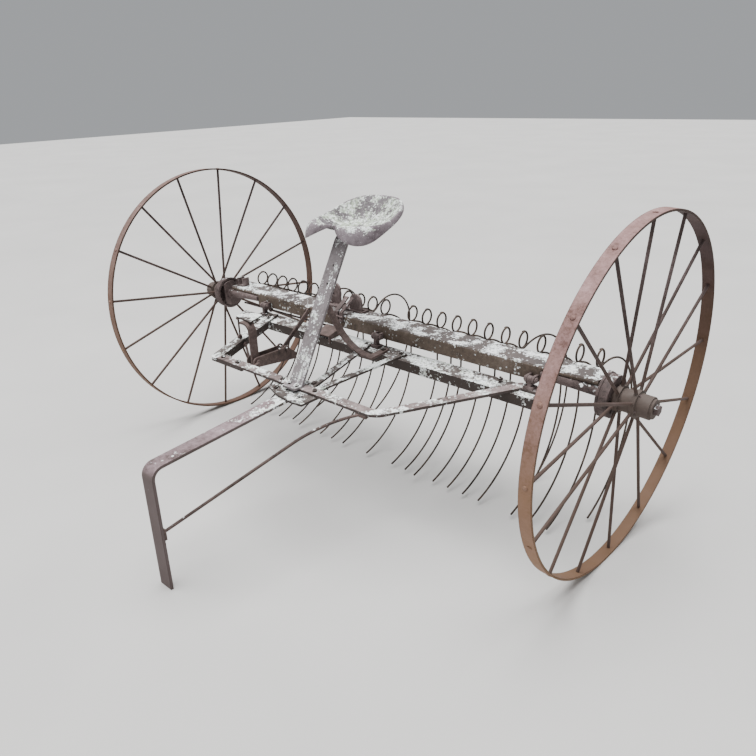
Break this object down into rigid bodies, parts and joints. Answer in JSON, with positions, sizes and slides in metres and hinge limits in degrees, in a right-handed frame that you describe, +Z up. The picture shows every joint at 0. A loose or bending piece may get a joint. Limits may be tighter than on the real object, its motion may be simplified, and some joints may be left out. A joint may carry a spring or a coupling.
{
  "type": "sulky dump rake",
  "caption": "Two-wheeled dump rake: riding seat on a draft frame, tilting head with curved spring teeth, tall spoked steel wheels with ratchet drums and a bent tongue strap as foot.",
  "frame": {"origin": "on the ground, under the middle of the whole machine's bounding box", "axes": "+X along the axle to the machine's right-hand side when looking rearward from the tongue, +Y rearward to the teeth, +Z up"},
  "size_m": [2.77, 1.9917, 1.4006],
  "materials": {
    "frame_steel": "weathered grey-brown with lichen",
    "seat_steel": "weathered grey with pale lichen",
    "spring_steel": "dark brown rust",
    "cast_rust": "rough dark rust",
    "wheel_steel": "red-brown rust",
    "bare_rust": "brown rust"
  },
  "bodies": {
    "draft_frame": {"crossbar": "frame_steel", "frame_hoop": "frame_steel", "left_arm": "frame_steel", "corner_splice": "frame_steel", "brace_left": "frame_steel", "brace_right": "frame_steel", "gusset": "frame_steel", "tongue": "frame_steel", "brace_rod": "bare_rust", "seat_post": "seat_steel", "seat_pan": "seat_steel", "hinge_eyes": "cast_rust", "step_plate": "frame_steel", "lever_hanger": "bare_rust", "trip_arm": "bare_rust", "rest_bracket": "bare_rust"},
    "rake_head": {"head_beam": "frame_steel", "hinge_forks": "cast_rust", "spindle_left": "frame_steel", "spindle_right": "frame_steel", "tooth_clips": "cast_rust", "teeth_a": "spring_steel", "teeth_b": "spring_steel", "teeth_c": "spring_steel", "teeth_d": "spring_steel", "pawl_left": "cast_rust", "pawl_right": "cast_rust", "trip_rod": "bare_rust", "latch_castings": "cast_rust"},
    "wheel_left": {"rim_left": "wheel_steel", "spokes_left": "wheel_steel", "drum_left": "cast_rust"},
    "wheel_right": {"rim_right": "wheel_steel", "spokes_right": "wheel_steel", "drum_right": "cast_rust"},
    "lever": {"foot_lever": "bare_rust"},
    "link": {"drop_link": "bare_rust"}
  },
  "joints": [
    {"name": "dump", "type": "hinge", "parent": "draft_frame", "child": "rake_head", "pos_m": [0.03, 0.25778, 0.6983], "axis": [1, 0, 0], "range_deg": [0, 60]},
    {"name": "left_wheel_roll", "type": "hinge", "parent": "rake_head", "child": "wheel_left", "pos_m": [-1.268, 0.29578, 0.7003], "axis": [0.9986, 0, 0.0523], "continuous": true},
    {"name": "right_wheel_roll", "type": "hinge", "parent": "rake_head", "child": "wheel_right", "pos_m": [1.268, 0.29578, 0.7003], "axis": [0.9986, 0, -0.0523], "continuous": true},
    {"name": "foot_lever_swing", "type": "hinge", "parent": "draft_frame", "child": "lever", "pos_m": [-0.462, -0.10422, 0.5655], "axis": [1, 0, 0], "range_deg": [-12.3, 0]},
    {"name": "link_swing", "type": "hinge", "parent": "rake_head", "child": "link", "pos_m": [-0.462, 0.26578, 0.7303], "axis": [1, 0, 0], "range_deg": [-48.9, 0]}
  ],
  "couplings": [
    {"joint": "link_swing", "follows": "dump", "ratio": -0.815},
    {"joint": "foot_lever_swing", "follows": "dump", "ratio": -0.205}
  ]
}
